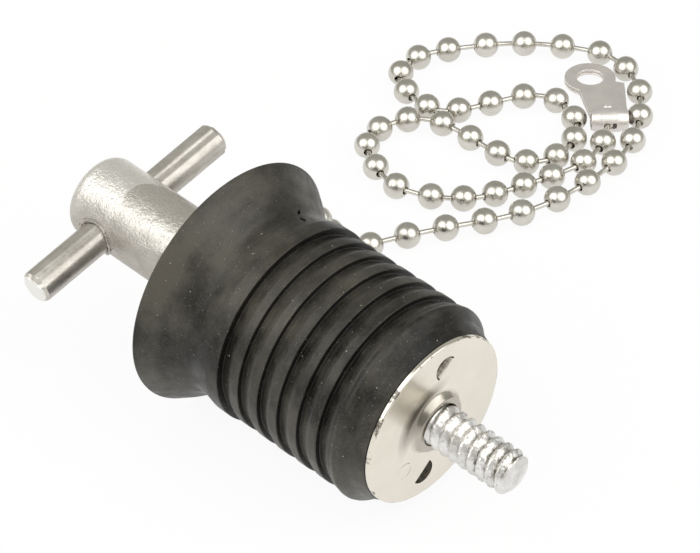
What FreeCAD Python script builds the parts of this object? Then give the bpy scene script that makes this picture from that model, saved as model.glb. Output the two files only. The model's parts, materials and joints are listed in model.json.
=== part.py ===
import FreeCAD
import Part
import Sketcher
import math
import os

# An expanding drain plug for a boat: a T-handled screw through a ribbed rubber bung draws a
# round end plate towards the flange, and a ball chain with a folded eyelet keeps it aboard.
# Millimetres, +Z up. The plug lies on its side on the floor Z = 0, on a flat at the rim of its
# flange and on the bulge of its nose. The origin is on the floor, under the middle of the plug.
# In a turned piece's own frame +Z runs along the plug's axis, from the handle to the nose.

SIZES = {
    # Rubber bung: lengths along the axis, radii across it
    "flange_radius": 18.6,
    "rim_length": 2.2,
    "rim_end_radius": 17.2,
    "dish_length": 1.8,
    "dish_end_radius": 15.8,
    "root_length": 1.1,
    "root_end_radius": 15.1,
    "neck_fall": 1.1,
    "neck_length": 1.0,
    "neck_radius": 14.4,
    "neck_rise": 0.5,
    "band_length": 4.85,
    "band_radius": 15.05,
    "groove_pitch": 3.57,
    "groove_count": 6,
    "groove_width": 2.15,
    "groove_depth": 1.0,
    "rib_radius": 14.75,
    "last_land": 0.35,
    "bulge_rise": 0.8,
    "bulge_radius": 15.05,
    "bulge_round": 1.5,
    "nose_length": 3.75,
    "nose_radius": 12.8,
    "flat_depth": 0.4,
    "bore_clearance": 0.35,
    # Screw and handle
    "spindle_radius": 3.175,
    "spindle_chamfer": 0.6,
    "spindle_overhang": 14.2,
    "spindle_seat": 13.0,
    "hub_radius": 6.15,
    "hub_length": 24.0,
    "hub_back_round": 1.8,
    "bar_radius": 2.5,
    "bar_length": 36.0,
    "bar_chamfer": 0.5,
    "bar_setback": 6.1,
    "bar_droop": 13.0,
    "press_clearance": 0.02,
    "running_clearance": 0.05,
    # Washer and chain ring between the hub and the flange
    "washer_radius": 7.4,
    "washer_thickness": 1.2,
    "ring_radius": 7.0,
    "ring_thickness": 0.8,
    "ring_clearance": 0.3,
    "tab_width": 5.0,
    "tab_reach": 13.4,
    "leg_length": 3.7,
    "eye_radius": 0.65,
    # End plate
    "plate_radius": 12.7,
    "plate_thickness": 0.7,
    "collar_radius": 4.3,
    "collar_height": 1.2,
    "collar_round": 0.4,
    "tooth_radius": 1.85,
    "tooth_distance": 8.5,
    "tooth_place": 9.3,
    "tooth_turn": 37.0,
    "tooth_clearance": 0.3,
    # Ball chain
    "bead_radius": 2.0,
    "bead_hole_radius": 0.75,
    "bead_wall": 0.2,
    "bead_shoulder": 0.75,
    "bead_sides": 8,
    "link_length": 4.3,
    "link_shaft_radius": 0.33,
    "link_head_radius": 0.78,
    "link_head_length": 0.3,
    "link_sides": 4,
    "link_swing": 1.3,
    # Folded eyelet at the chain's far end
    "eyelet_sheet": 0.5,
    "eyelet_radius": 4.0,
    "eyelet_hole_radius": 2.1,
    "eyelet_distance": 11.1,
    "eyelet_offset": 2.0,
    "strip_width": 5.6,
    "strip_length": 9.4,
    "strip_flare": 0.4,
    "knuckle_radius": 1.9,
    "knuckle_width": 5.8,
    "slot_width": 1.9,
    "slot_height": 1.0,
}

# The chain's route from the ring's tab to the eyelet, as control points of a smooth curve.
# It hangs from the tab behind the flange, then lies on the floor in loops.
ROUTE = [
    (-15.6, 13.0, 18.4),
    (-15.7, 18.5, 18.2),
    (-16.2, 22.5, 14.5),
    (-17.0, 25.5, 9.5),
    (-18.0, 28.5, 4.5),
    (-18.8, 32.0, 2.0),
    (-19.5, 35.5, 2.0),
    (-14.0, 46.0, 2.0),
    (-7.5, 56.5, 2.0),
    (-5.5, 69.0, 2.0),
    (-7.0, 82.5, 2.0),
    (-16.0, 94.5, 2.0),
    (-21.5, 97.0, 2.0),
    (-26.0, 98.5, 2.0),
    (-38.0, 92.0, 2.0),
    (-46.0, 81.0, 2.0),
    (-47.5, 77.0, 2.0),
    (-46.5, 71.5, 2.0),
    (-42.5, 68.5, 2.0),
    (-36.0, 67.5, 2.0),
    (-33.0, 69.0, 2.0),
    (-27.5, 82.0, 2.0),
    (-23.5, 83.0, 2.0),
    (-18.0, 81.0, 2.0),
    (-14.5, 77.0, 2.0),
    (-13.3, 70.5, 2.0),
    (-16.0, 66.5, 2.0),
    (-19.5, 65.5, 2.0),
    (-33.5, 66.5, 2.0),
    (-37.0, 63.5, 2.0),
    (-38.5, 58.5, 2.0),
    (-38.0, 54.0, 2.0),
    (-26.5, 47.5, 2.0),
    (-16.0, 53.0, 2.0),
    (-12.5, 61.5, 2.0),
    (-8.7, 73.5, 2.0),
    (-11.0, 79.0, 2.0),
]

# How far apart the beads lie along the route: the links slide in the beads, so a slack stretch
# is shorter than a taut one. Each run is a count of steps of one length.
RUN_COUNTS = (5, 4, 2, 5, 5, 6, 5, 2, 3, 2, 3, 4, 2)
RUN_STEPS = (5.28, 6.0, 6.4, 6.7, 6.1, 5.3, 5.55, 5.0, 5.7, 5.05, 5.85, 4.9, 6.2)
FIRST_BEAD = 3.6

# The knuckle of the eyelet lies this far from the last bead, in this direction, and the eyelet
# points this way from its knuckle, in degrees from +X. One edge of its leaves meets the ring
# this many degrees from the eyelet's own direction.
KNUCKLE_STEP = 6.3
KNUCKLE_BEARING = 120.5
EYELET_HEADING = 135.0
NOTCH_ANGLE = 150.0

doc = FreeCAD.newDocument("DrainPlug")
sheet = doc.addObject("Spreadsheet::Sheet", "sizes")
Z_AXIS = FreeCAD.Vector(0, 0, 1)


class Size:
    """A size worked out from the sheet: its number now, and the expression that keeps it so."""

    def __init__(self, number, text):
        self.number = number
        self.text = text

    def __add__(self, other):
        other = as_size(other)
        return Size(self.number + other.number, f"({self.text} + {other.text})")

    def __sub__(self, other):
        other = as_size(other)
        return Size(self.number - other.number, f"({self.text} - {other.text})")

    def __mul__(self, other):
        other = as_size(other)
        return Size(self.number * other.number, f"({self.text} * {other.text})")

    def __neg__(self):
        return Size(-self.number, f"(-1 * {self.text})")


def as_size(value):
    """A plain number as a Size, and a Size as it is."""
    if isinstance(value, Size):
        return value
    return Size(value, repr(value))


def size(name):
    """The driving dimension of that name."""
    return Size(SIZES[name], f"sizes.{name}")


def fill_sheet(values):
    """One row for each size: its name, and its value under that alias."""
    for row, (name, value) in enumerate(values.items(), start=1):
        sheet.set(f"A{row}", name)
        sheet.set(f"B{row}", str(value))
        sheet.setAlias(f"B{row}", name)
    doc.recompute()


def origin_plane(body, role):
    """The body's own origin plane with that role."""
    for feature in body.Origin.OriginFeatures:
        if feature.Role == role:
            return feature


def bind(obj, prop, value):
    """Ties a property to a size, and gives it the same number now."""
    value = as_size(value)
    setattr(obj, prop, value.number)
    obj.setExpression(prop, value.text)


def new_sketch(body, name, role, lift=None):
    """An empty sketch on one of the body's origin planes, lifted along its normal."""
    sketch = body.newObject("Sketcher::SketchObject", name)
    sketch.AttachmentSupport = (origin_plane(body, role), "")
    sketch.MapMode = "FlatFace"
    if lift is not None:
        sketch.setExpression("AttachmentOffset.Base.z", lift.text)
    return sketch


def fix(sketch, constraint, value):
    """Adds a dimension to the sketch and ties it to a size."""
    index = sketch.addConstraint(constraint)
    sketch.setExpression(f"Constraints[{index}]", value.text)


def fix_point(sketch, geometry, point, x, y):
    """Ties a point of the sketch to its two distances from the sketch's origin."""
    fix(sketch, Sketcher.Constraint("DistanceX", -1, 1, geometry, point, x.number), x)
    fix(sketch, Sketcher.Constraint("DistanceY", -1, 1, geometry, point, y.number), y)


def draw_outline(sketch, corners):
    """A closed outline of straight lines through the corners."""
    corners = [(as_size(x), as_size(y)) for x, y in corners]
    points = [FreeCAD.Vector(x.number, y.number, 0) for x, y in corners]
    count = len(points)
    for k in range(count):
        sketch.addGeometry(Part.LineSegment(points[k], points[(k + 1) % count]), False)
    for k in range(count):
        sketch.addConstraint(Sketcher.Constraint("Coincident", k, 2, (k + 1) % count, 1))
    for k, (x, y) in enumerate(corners):
        fix_point(sketch, k, 1, x, y)


def draw_circle(sketch, x, y, radius):
    """A circle with its centre and radius tied to sizes."""
    x = as_size(x)
    y = as_size(y)
    circle = Part.Circle(FreeCAD.Vector(x.number, y.number, 0), Z_AXIS, radius.number)
    index = sketch.addGeometry(circle, False)
    fix(sketch, Sketcher.Constraint("Radius", index, radius.number), radius)
    fix_point(sketch, index, 3, x, y)


def rounding(radius, height, round_radius, start, end, steps):
    """Corners along an arc about (radius, height), by angles in degrees from straight outwards."""
    corners = []
    for k in range(steps + 1):
        angle = math.radians(start + (end - start) * k / steps)
        across = round_radius * round(math.cos(angle), 6)
        along = round_radius * round(math.sin(angle), 6)
        corners.append((radius + across, height + along))
    return corners


def turned_body(name, corners):
    """A body turned about its own Z from an outline of (radius, height) corners."""
    body = doc.addObject("PartDesign::Body", name)
    body.Label = name
    sketch = new_sketch(body, name + "_outline", "XZ_Plane")
    draw_outline(sketch, corners)
    turned = body.newObject("PartDesign::Revolution", name + "_turned")
    turned.Profile = sketch
    turned.ReferenceAxis = (sketch, ["V_Axis"])
    turned.Angle = 360
    sketch.Visibility = False
    doc.recompute()
    return body


def join(name, pieces):
    """Several pieces fused into one object."""
    fused = doc.addObject("Part::MultiFuse", name)
    fused.Shapes = pieces
    return fused


def cut_from(name, base, tool):
    """What is left of the base without the tool."""
    left = doc.addObject("Part::Cut", name)
    left.Base = base
    left.Tool = tool
    left.Label = name
    doc.recompute()
    return left


def cut_through(body, sketch, name):
    """A pocket right through the body, both ways from its sketch."""
    pocket = body.newObject("PartDesign::Pocket", name)
    pocket.Profile = sketch
    pocket.Type = 1
    pocket.Midplane = True
    sketch.Visibility = False
    doc.recompute()


def placement_text(x, y, z, turns):
    """The expression of a placement: a shift, and turns about axes, the last one made first."""
    shift = f"create(<<vector>>; {as_size(x).text}; {as_size(y).text}; {as_size(z).text})"
    none = "create(<<rotation>>; create(<<vector>>; 0; 0; 1); 0)"
    text = f"create(<<placement>>; {shift}; {none})"
    for axis, angle in turns:
        axis_text = "create(<<vector>>; {}; {}; {})".format(*axis)
        turn = f"create(<<rotation>>; {axis_text}; {as_size(angle).text})"
        text += f" * create(<<placement>>; create(<<vector>>; 0; 0; 0); {turn})"
    return text


def seat(obj, height, spin=0):
    """Places a piece on the plug's axis, its own origin at that height above the flange's back."""
    base = placement_text(-PLUG_MIDDLE, 0, FLANGE_LIFT, [(AXIS_Y, REST_TURN)])
    along = placement_text(0, 0, height, [(AXIS_Z, spin)])
    obj.setExpression("Placement", f"{base} * {along}")


# Places along the axis, measured from the back face of the flange
rim_end = size("rim_length")
dish_end = rim_end + size("dish_length")
root_end = dish_end + size("root_length")
neck_start = root_end + size("neck_fall")
neck_end = neck_start + size("neck_length")
band_start = neck_end + size("neck_rise")
first_groove = band_start + size("band_length")
groove_span = size("groove_pitch") * (size("groove_count") - 1)
ribs_end = first_groove + groove_span + size("groove_width") + size("last_land")
bulge_peak = ribs_end + size("bulge_rise")
bung_length = bulge_peak + size("nose_length")
plate_front = bung_length + size("plate_thickness")
spindle_end = plate_front + size("spindle_overhang")
ring_back = -size("ring_thickness")
washer_back = ring_back - size("washer_thickness")
hub_back = washer_back - size("hub_length")
bar_height = hub_back + size("bar_setback")
spindle_start = washer_back - size("spindle_seat")


def rest_tilt():
    """How far the nose dips, in degrees, when the rim's flat and the bulge touch the floor."""
    rim = SIZES["flange_radius"] - SIZES["flat_depth"]
    drop = rim - (SIZES["bulge_radius"] - SIZES["bulge_round"])
    reach = math.hypot(bulge_peak.number, drop)
    line = math.atan2(drop, bulge_peak.number)
    return math.degrees(line - math.asin(SIZES["bulge_round"] / reach))


def plug_middle(tilt):
    """Where the plug's middle lies along X, from the centre of the flange's back face."""
    dip = math.radians(tilt)
    front_corner = SIZES["spindle_radius"] - SIZES["spindle_chamfer"]
    front = spindle_end.number * math.cos(dip) + front_corner * math.sin(dip)
    back_corner = SIZES["hub_radius"] - SIZES["hub_back_round"]
    back = hub_back.number * math.cos(dip) - back_corner * math.sin(dip)
    return (front + back) / 2


TILT = rest_tilt()
DERIVED = {
    "rest_turn": 90 + TILT,
    "plug_middle": plug_middle(TILT),
    "flange_lift": (SIZES["flange_radius"] - SIZES["flat_depth"]) * math.cos(math.radians(TILT)),
    "floor_slope": math.tan(math.radians(TILT)),
}
fill_sheet({**SIZES, **DERIVED})
REST_TURN = Size(DERIVED["rest_turn"], "sizes.rest_turn")
PLUG_MIDDLE = Size(DERIVED["plug_middle"], "sizes.plug_middle")
FLANGE_LIFT = Size(DERIVED["flange_lift"], "sizes.flange_lift")
FLOOR_SLOPE = Size(DERIVED["floor_slope"], "sizes.floor_slope")
OVERCUT = 1.0
AXIS_X = (1, 0, 0)
AXIS_Y = (0, 1, 0)
AXIS_Z = (0, 0, 1)
TOOTH_TURNS = (0, 180)


def tooth_spot(half_turn):
    """Where a tooth of the end plate stands: X along its root, Y into its window, Z to the nose."""
    out = placement_text(0, 0, 0, [(AXIS_Z, as_size(half_turn) - size("tooth_place"))])
    root = placement_text(size("tooth_distance"), 0, 0, [(AXIS_Z, -size("tooth_turn"))])
    return f"{out} * {root}"


def make_tooth_slots():
    """The slots in the rubber's nose that take the teeth of the end plate."""
    clearance = size("tooth_clearance")
    reach = size("tooth_radius") + clearance
    depth = size("tooth_radius") - size("plate_thickness") + clearance
    slots = []
    for number, half_turn in enumerate(TOOTH_TURNS):
        slot = doc.addObject("Part::Box", f"tooth_slot_{number}")
        bind(slot, "Length", reach * 2)
        bind(slot, "Width", size("plate_thickness") + clearance * 2)
        bind(slot, "Height", depth + OVERCUT)
        corner = placement_text(-reach, -clearance, bung_length - depth, [])
        slot.setExpression("Placement", f"{tooth_spot(half_turn)} * {corner}")
        slots.append(slot)
    return join("tooth_slots", slots)


def make_rubber_bung():
    """The moulded rubber: a dished flange, a necked body with grooves, and a bulging nose."""
    bore = size("spindle_radius") + size("bore_clearance")
    body = turned_body("bung_body", [
        (bore, 0),
        (size("flange_radius"), 0),
        (size("rim_end_radius"), rim_end),
        (size("dish_end_radius"), dish_end),
        (size("root_end_radius"), root_end),
        (size("neck_radius"), neck_start),
        (size("neck_radius"), neck_end),
        (size("band_radius"), band_start),
        (size("band_radius"), first_groove),
        (size("rib_radius"), first_groove),
        (size("rib_radius"), ribs_end),
        *rounding(size("bulge_radius") - size("bulge_round"), bulge_peak, size("bulge_round"),
                  0, 30, 1),
        (size("nose_radius"), bung_length),
        (bore, bung_length),
    ])
    outline = new_sketch(body, "groove_outline", "XZ_Plane")
    floor = size("rib_radius") - size("groove_depth")
    outside = size("band_radius") + OVERCUT
    draw_outline(outline, [
        (outside, first_groove),
        (floor, first_groove),
        (size("rib_radius"), first_groove + size("groove_width")),
        (outside, first_groove + size("groove_width")),
    ])
    groove = body.newObject("PartDesign::Groove", "groove")
    groove.Profile = outline
    groove.ReferenceAxis = (outline, ["V_Axis"])
    groove.Angle = 360
    outline.Visibility = False
    doc.recompute()
    grooves = body.newObject("PartDesign::LinearPattern", "grooves")
    grooves.Originals = [groove]
    grooves.Direction = (outline, ["V_Axis"])
    bind(grooves, "Length", groove_span)
    bind(grooves, "Occurrences", size("groove_count"))
    body.Tip = grooves
    doc.recompute()

    # The flat that the flange rests on
    flat_start = size("flange_radius") - size("flat_depth")
    flat = new_sketch(body, "flat_outline", "XZ_Plane")
    draw_outline(flat, [
        (flat_start, 0),
        (flat_start + OVERCUT, 0),
        (flat_start + OVERCUT, rim_end),
        (flat_start - rim_end * FLOOR_SLOPE, rim_end),
    ])
    cut_through(body, flat, "flat")

    bung = cut_from("rubber_bung", body, make_tooth_slots())
    seat(bung, 0)
    return bung


def make_hub():
    """The turned hub, its own origin at its back end: a cross hole and a blind spindle hole."""
    seat_end = size("hub_length") - size("spindle_seat")
    hole = size("spindle_radius") + size("press_clearance")
    back_round = size("hub_back_round")
    body = turned_body("handle_hub", [
        (0, 0),
        *rounding(size("hub_radius") - back_round, back_round, back_round, -90, 0, 1),
        (size("hub_radius"), size("hub_length")),
        (hole, size("hub_length")),
        (hole, seat_end),
        (0, seat_end),
    ])
    cross = new_sketch(body, "cross_hole_outline", "XZ_Plane")
    draw_circle(cross, 0, size("bar_setback"), size("bar_radius") + size("press_clearance"))
    cut_through(body, cross, "cross_hole")
    seat(body, hub_back, size("bar_droop"))
    return body


def chamfered_rod(name, radius, length, chamfer):
    """A round rod with a chamfer at each end, its own origin at one end."""
    body = turned_body(name, [
        (0, 0),
        (radius - chamfer, 0),
        (radius, chamfer),
        (radius, length - chamfer),
        (radius - chamfer, length),
        (0, length),
    ])
    return body


def make_crossbar():
    """The bar through the hub, its near end drooping a little."""
    rod = chamfered_rod("handle_crossbar", size("bar_radius"), size("bar_length"),
                        size("bar_chamfer"))
    base = placement_text(-PLUG_MIDDLE, 0, FLANGE_LIFT, [(AXIS_Y, REST_TURN)])
    along = placement_text(0, 0, bar_height, [(AXIS_Z, size("bar_droop")), (AXIS_X, 90)])
    middle = placement_text(0, 0, size("bar_length") * -0.5, [])
    rod.setExpression("Placement", f"{base} * {along} * {middle}")
    return rod


def make_spindle():
    """The screw at its crest diameter, from its seat in the hub to its free end."""
    rod = chamfered_rod("spindle", size("spindle_radius"), spindle_end - spindle_start,
                        size("spindle_chamfer"))
    seat(rod, spindle_start)
    return rod


def make_thrust_washer():
    """The flat washer that the hub turns on."""
    inside = size("spindle_radius") + size("ring_clearance")
    body = turned_body("thrust_washer", [
        (inside, 0),
        (size("washer_radius"), 0),
        (size("washer_radius"), size("washer_thickness")),
        (inside, size("washer_thickness")),
    ])
    seat(body, washer_back)
    return body


def make_chain_ring():
    """The flat ring under the washer, with a tab bent back from the flange that holds the chain."""
    inside = size("spindle_radius") + size("ring_clearance")
    body = turned_body("chain_ring", [
        (inside, 0),
        (size("ring_radius"), 0),
        (size("ring_radius"), size("ring_thickness")),
        (inside, size("ring_thickness")),
    ])
    half = size("tab_width") * 0.5
    root = size("ring_radius") - size("ring_thickness")
    strip = new_sketch(body, "tab_outline", "XY_Plane")
    draw_outline(strip, [(-half, root), (half, root), (half, size("tab_reach")),
                         (-half, size("tab_reach"))])
    tab = body.newObject("PartDesign::Pad", "tab")
    tab.Profile = strip
    bind(tab, "Length", size("ring_thickness"))
    doc.recompute()
    bend = size("tab_reach") - size("ring_thickness")
    bent = new_sketch(body, "leg_outline", "XY_Plane")
    draw_outline(bent, [(-half, bend), (half, bend), (half, size("tab_reach")),
                        (-half, size("tab_reach"))])
    leg = body.newObject("PartDesign::Pad", "leg")
    leg.Profile = bent
    bind(leg, "Length", size("leg_length"))
    leg.Reversed = True
    doc.recompute()
    eye = new_sketch(body, "eye_outline", "XZ_Plane")
    draw_circle(eye, 0, size("leg_length") * -0.5, size("eye_radius"))
    cut_through(body, eye, "eye")
    seat(body, ring_back)
    return body


def make_end_plate():
    """The pressed plate with a drawn collar for the thread and two lanced teeth bent inwards."""
    bore = size("spindle_radius") + size("running_clearance")
    top = size("plate_thickness") + size("collar_height")
    collar_round = size("collar_round")
    body = turned_body("plate_disc", [
        (bore, 0),
        (size("plate_radius"), 0),
        (size("plate_radius"), size("plate_thickness")),
        (size("collar_radius"), size("plate_thickness")),
        *rounding(size("collar_radius") - collar_round, top - collar_round, collar_round, 0, 90, 1),
        (bore, top),
    ])
    windows = []
    teeth = []
    for number, half_turn in enumerate(TOOTH_TURNS):
        window = doc.addObject("Part::Cylinder", f"window_{number}")
        bind(window, "Radius", size("tooth_radius"))
        bind(window, "Height", size("plate_thickness") + OVERCUT * 2)
        window.Angle = 180
        tooth = doc.addObject("Part::Cylinder", f"tooth_{number}")
        bind(tooth, "Radius", size("tooth_radius"))
        bind(tooth, "Height", size("plate_thickness"))
        tooth.Angle = 180
        behind = placement_text(0, 0, -OVERCUT, [])
        window.setExpression("Placement", f"{tooth_spot(half_turn)} * {behind}")
        bent = placement_text(0, 0, size("plate_thickness"), [(AXIS_X, -90)])
        tooth.setExpression("Placement", f"{tooth_spot(half_turn)} * {bent}")
        windows.append(window)
        teeth.append(tooth)
    pierced = cut_from("pierced_plate", body, join("windows", windows))
    plate = join("end_plate", [pierced] + teeth)
    doc.recompute()
    seat(plate, bung_length)
    return plate


def polygon_ring(radius, height, sides, turn=0.0):
    """The corners of a regular polygon across Z, turned by a share of one side."""
    corners = []
    for k in range(sides):
        angle = 2 * math.pi * (k + turn) / sides
        corners.append(FreeCAD.Vector(radius * math.cos(angle), radius * math.sin(angle), height))
    return corners


def faceted_solid(rings, closed):
    """A solid through polygon rings; a closed one joins its last ring to its first."""
    faces = []
    pairs = list(zip(rings, rings[1:]))
    if closed:
        pairs.append((rings[-1], rings[0]))
    else:
        faces.append(Part.Face(Part.makePolygon(rings[0] + rings[0][:1])))
        faces.append(Part.Face(Part.makePolygon(rings[-1] + rings[-1][:1])))
    for low, high in pairs:
        for k in range(len(low)):
            after = (k + 1) % len(low)
            corners = [low[k], low[after], high[after], high[k], low[k]]
            faces.append(Part.Face(Part.makePolygon(corners)))
    shell = Part.Shell(faces)
    solid = Part.Solid(shell)
    if solid.Volume < 0:
        solid.reverse()
    return solid


def make_bead():
    """A hollow ball with a hole at each end, its holes along Z."""
    radius = SIZES["bead_radius"]
    hole = SIZES["bead_hole_radius"]
    sides = int(SIZES["bead_sides"])
    lip = math.sqrt(radius ** 2 - hole ** 2)
    shoulder = SIZES["bead_shoulder"]
    corners = [
        (hole, lip),
        (radius, shoulder),
        (radius, -shoulder),
        (hole, -lip),
        (radius - SIZES["bead_wall"], 0),
    ]
    rings = [polygon_ring(across, height, sides) for across, height in corners]
    return faceted_solid(rings, True)


def make_link():
    """A dumbbell along Z, centred, whose two heads are wider than the holes of the beads."""
    half = SIZES["link_length"] / 2
    neck = half - SIZES["link_head_length"]
    shaft = SIZES["link_shaft_radius"]
    head = SIZES["link_head_radius"]
    sides = int(SIZES["link_sides"])
    heights = [(-half, head), (-neck, shaft), (neck, shaft), (half, head)]
    rings = [polygon_ring(radius, height, sides, 0.5) for height, radius in heights]
    return faceted_solid(rings, False)


def chain_curve():
    """The route as a smooth curve that starts and ends at its end points."""
    poles = [FreeCAD.Vector(*point) for point in ROUTE]
    spans = len(poles) - 2
    curve = Part.BSplineCurve()
    knots = list(range(spans + 1))
    multiplicities = [3] + [1] * (spans - 1) + [3]
    curve.buildFromPolesMultsKnots(poles, multiplicities, knots, False, 2)
    return curve


def along(direction, at):
    """A placement that turns Z to a direction, keeps X as steep as it can be, and shifts."""
    free = FreeCAD.Vector(0, 0, 0)
    return FreeCAD.Placement(at, FreeCAD.Rotation(Z_AXIS, free, direction, "ZXY"))


def bead_places():
    """The centre and the heading of each bead, stepped along the route."""
    curve = chain_curve()
    steps = [FIRST_BEAD]
    for count, step in zip(RUN_COUNTS, RUN_STEPS):
        steps.extend([step] * count)
    places = []
    parameter = curve.FirstParameter
    for step in steps:
        parameter = curve.parameterAtDistance(step, parameter)
        places.append((curve.value(parameter), FreeCAD.Vector(*curve.tangent(parameter)[0])))
    return places


def make_chain_beads(places):
    """All the beads, each a solid of its own."""
    bead = make_bead()
    solids = []
    for centre, heading in places:
        copy = bead.copy()
        copy.Placement = along(heading, centre)
        solids.append(copy)
    feature = doc.addObject("Part::Feature", "chain_beads")
    feature.Label = "chain_beads"
    feature.Shape = Part.makeCompound(solids)
    return feature


def make_chain_links(places, start, end):
    """A link from each bead to the next, and one at each end of the chain.

    A link swings in a bead's hole, and crosses the bead's own axis a little inside it.
    """
    link = make_link()
    swing = SIZES["link_swing"]
    leaving = [start] + [centre + heading * swing for centre, heading in places]
    arriving = [centre - heading * swing for centre, heading in places] + [end]
    solids = []
    for near, far in zip(leaving, arriving):
        copy = link.copy()
        copy.Placement = along(far - near, (near + far) * 0.5)
        solids.append(copy)
    feature = doc.addObject("Part::Feature", "chain_links")
    feature.Label = "chain_links"
    feature.Shape = Part.makeCompound(solids)
    return feature


def make_leaves(thickness):
    """The eyelet's two leaves, pressed flat, from the knuckle's width to the ring at one side."""
    half = size("strip_width") * 0.5
    notch = math.radians(NOTCH_ANGLE)
    notch_reach = size("eyelet_radius") * round(math.cos(notch), 6)
    notch_side = size("eyelet_radius") * round(math.sin(notch), 6)
    body = doc.addObject("PartDesign::Body", "leaves")
    outline = new_sketch(body, "leaves_outline", "XY_Plane")
    draw_outline(outline, [
        (0, -half),
        (size("strip_length"), -half - size("strip_flare")),
        (size("eyelet_distance"), size("eyelet_offset")),
        (size("eyelet_distance") + notch_reach, size("eyelet_offset") + notch_side),
        (0, half),
    ])
    pad = body.newObject("PartDesign::Pad", "leaves_pad")
    pad.Profile = outline
    bind(pad, "Length", thickness)
    outline.Visibility = False
    doc.recompute()
    return body


def make_end_fitting(last_centre):
    """The folded eyelet: two leaves that meet in a ring, rolled into a knuckle at the chain.

    In its own frame X runs from the knuckle to the ring, Y across, Z up, on the floor at Z = 0.
    """
    knuckle = doc.addObject("Part::Cylinder", "knuckle_outside")
    bind(knuckle, "Radius", size("knuckle_radius"))
    bind(knuckle, "Height", size("knuckle_width"))
    across = placement_text(0, size("knuckle_width") * 0.5, size("knuckle_radius"),
                            [(AXIS_X, 90)])
    knuckle.setExpression("Placement", across)
    thickness = size("eyelet_sheet") * 2
    leaf_base = size("knuckle_radius") - size("eyelet_sheet")
    leaves = make_leaves(thickness)
    leaves.setExpression("Placement", placement_text(0, 0, leaf_base, []))
    ring = doc.addObject("Part::Cylinder", "eyelet_ring")
    bind(ring, "Radius", size("eyelet_radius"))
    bind(ring, "Height", thickness)
    ring.setExpression("Placement", placement_text(
        size("eyelet_distance"), size("eyelet_offset"), leaf_base, []))

    hollow = doc.addObject("Part::Cylinder", "knuckle_hollow")
    bind(hollow, "Radius", size("knuckle_radius") - size("eyelet_sheet"))
    bind(hollow, "Height", size("knuckle_width") + OVERCUT * 2)
    hollow.setExpression("Placement", placement_text(
        0, size("knuckle_width") * 0.5 + OVERCUT, size("knuckle_radius"), [(AXIS_X, 90)]))
    hole = doc.addObject("Part::Cylinder", "eyelet_hole")
    bind(hole, "Radius", size("eyelet_hole_radius"))
    bind(hole, "Height", thickness + OVERCUT * 2)
    hole.setExpression("Placement", placement_text(
        size("eyelet_distance"), size("eyelet_offset"), leaf_base - OVERCUT, []))
    slot = doc.addObject("Part::Box", "link_slot")
    bind(slot, "Length", size("knuckle_radius") + OVERCUT)
    bind(slot, "Width", size("slot_width"))
    bind(slot, "Height", size("slot_height"))
    slot.setExpression("Placement", placement_text(
        -size("knuckle_radius") - OVERCUT, size("slot_width") * -0.5,
        size("knuckle_radius") - size("slot_height") * 0.5, []))
    outside = join("eyelet_outside", [knuckle, leaves, ring])
    fitting = cut_from("end_fitting", outside, join("eyelet_inside", [hollow, hole, slot]))
    bearing = math.radians(KNUCKLE_BEARING)
    way = FreeCAD.Vector(math.cos(bearing), math.sin(bearing), 0)
    centre = last_centre + way * KNUCKLE_STEP
    turn = [(AXIS_Z, EYELET_HEADING)]
    fitting.setExpression("Placement", placement_text(centre.x, centre.y, 0, turn))
    inner = SIZES["knuckle_radius"] - SIZES["eyelet_sheet"]
    mouth = centre - way * inner
    mouth.z = SIZES["knuckle_radius"]
    return fitting, mouth


places = bead_places()
fitting, fitting_mouth = make_end_fitting(places[-1][0])
tab_eye = FreeCAD.Vector(*ROUTE[0])
parts = [
    make_rubber_bung(),
    make_hub(),
    make_crossbar(),
    make_spindle(),
    make_thrust_washer(),
    make_chain_ring(),
    make_end_plate(),
    make_chain_beads(places),
    make_chain_links(places, tab_eye, fitting_mouth),
    fitting,
]
doc.recompute()

for obj in doc.Objects:
    if "Invalid" in obj.State or "Error" in obj.State:
        raise RuntimeError(f"{obj.Label} did not recompute: {obj.State}")
os.makedirs("parts", exist_ok=True)
for part in parts:
    if part.Shape.isNull() or not part.Shape.isValid():
        raise RuntimeError(f"{part.Label} has no sound shape")
    box = part.Shape.BoundBox
    print(f"{part.Label}: {len(part.Shape.Solids)} solids, {part.Shape.Volume:.1f} mm3,",
          f"Z {box.ZMin:.2f} to {box.ZMax:.2f}, X {box.XMin:.2f} to {box.XMax:.2f},",
          f"Y {box.YMin:.2f} to {box.YMax:.2f}")
    part.Shape.exportStep(f"parts/{part.Label}.step")
print(f"tilt {TILT:.3f} degrees, route {chain_curve().length():.1f} mm")
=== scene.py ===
import json
import math
import bmesh
import bpy
import numpy as np
from mathutils import Matrix, Vector, noise


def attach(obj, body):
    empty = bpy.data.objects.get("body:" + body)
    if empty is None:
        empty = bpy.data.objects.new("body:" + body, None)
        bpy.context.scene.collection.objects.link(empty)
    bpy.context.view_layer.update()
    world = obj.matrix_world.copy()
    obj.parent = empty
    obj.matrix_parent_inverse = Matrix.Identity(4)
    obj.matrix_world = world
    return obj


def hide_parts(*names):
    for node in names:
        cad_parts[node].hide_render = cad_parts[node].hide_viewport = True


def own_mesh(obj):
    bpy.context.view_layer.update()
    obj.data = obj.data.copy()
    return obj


# The looks of an expanding drain plug for a boat: T-handle, ribbed rubber, end plate, screw and
# ball chain. Lengths are in metres; MM turns millimetres into metres.

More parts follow.
